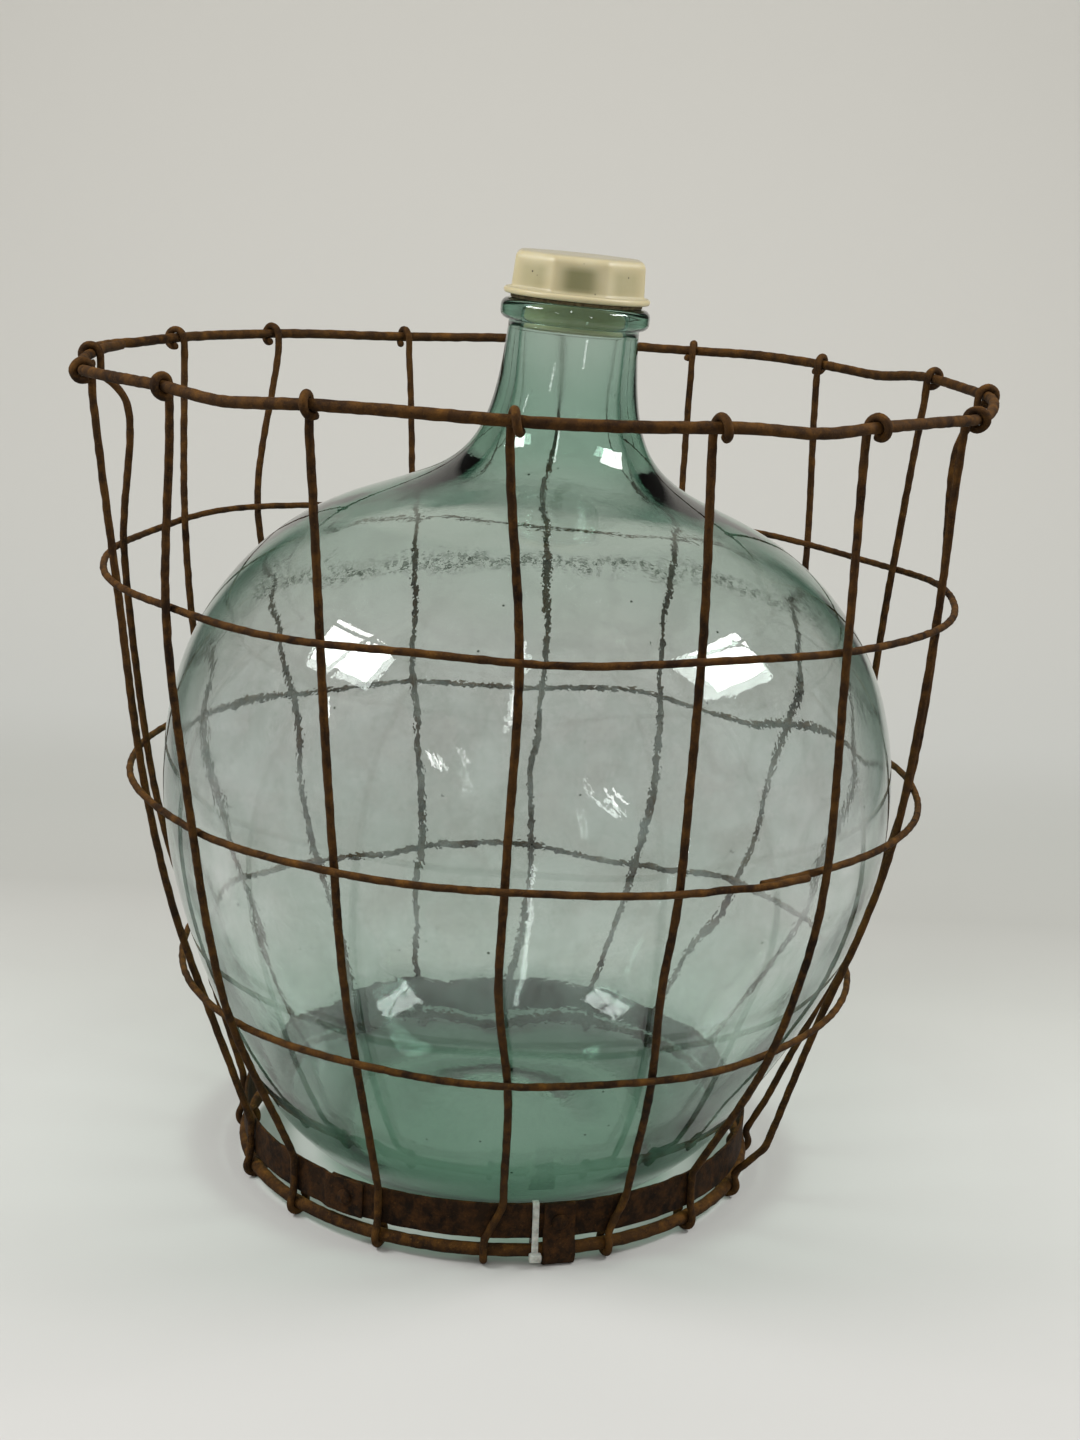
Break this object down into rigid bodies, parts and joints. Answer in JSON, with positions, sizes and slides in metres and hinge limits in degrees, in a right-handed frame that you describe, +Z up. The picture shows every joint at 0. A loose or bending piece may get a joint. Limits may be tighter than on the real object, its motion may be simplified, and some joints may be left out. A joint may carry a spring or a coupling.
{
  "type": "caged glass carboy",
  "caption": "Wide-bellied pale green glass carboy with a faceted plastic stopper, standing in an open basket of rusty iron wire hoops and uprights.",
  "frame": {"origin": "on the floor, below the middle of the rim hoop, which is the middle of the object's outline", "axes": "+Z up, -Y towards the front that the picture shows, +X to the right, the way the bottle leans"},
  "size_m": [0.5768, 0.5768, 0.598],
  "materials": {
    "blown_glass": "clear pale green blown glass",
    "cream_plastic": "satin moulded plastic, slightly translucent",
    "seal_rubber": "matt",
    "rusty_wire": "rusted round iron wire",
    "rusty_strip": "rusted flat iron",
    "tie_nylon": "matt nylon"
  },
  "bodies": {
    "cage": {"rim_hoop": "rusty_wire", "upper_hoop": "rusty_wire", "middle_hoop": "rusty_wire", "lower_hoop": "rusty_wire", "base_hoop": "rusty_wire", "upright_01": "rusty_wire", "upright_02": "rusty_wire", "upright_03": "rusty_wire", "upright_04": "rusty_wire", "upright_05": "rusty_wire", "upright_06": "rusty_wire", "upright_07": "rusty_wire", "upright_08": "rusty_wire", "upright_09": "rusty_wire", "upright_10": "rusty_wire", "upright_11": "rusty_wire", "upright_12": "rusty_wire", "upright_13": "rusty_wire", "upright_14": "rusty_wire", "upright_15": "rusty_wire", "upright_16": "rusty_wire", "base_band": "rusty_strip", "link_plate": "rusty_strip", "lap_rivet": "rusty_strip", "plate_rivet": "rusty_strip", "cable_tie": "tie_nylon"},
    "bottle": {"glass_carboy": "blown_glass"},
    "seal": {"stopper_seal": "seal_rubber"},
    "stopper": {"stopper": "cream_plastic"}
  },
  "joints": [
    {"name": "bottle_lift", "type": "slide", "parent": "cage", "child": "bottle", "axis": [0, 0, 1], "range_m": [0, 0.54]},
    {"name": "stopper_lift", "type": "slide", "parent": "bottle", "child": "seal", "axis": [0.0506, 0, 0.9987], "range_m": [0, 0.08]},
    {"name": "stopper_twist", "type": "hinge", "parent": "seal", "child": "stopper", "pos_m": [0.02219, 0, 0.5666], "axis": [0.0506, 0, 0.9987], "range_deg": [-180, 180]}
  ]
}
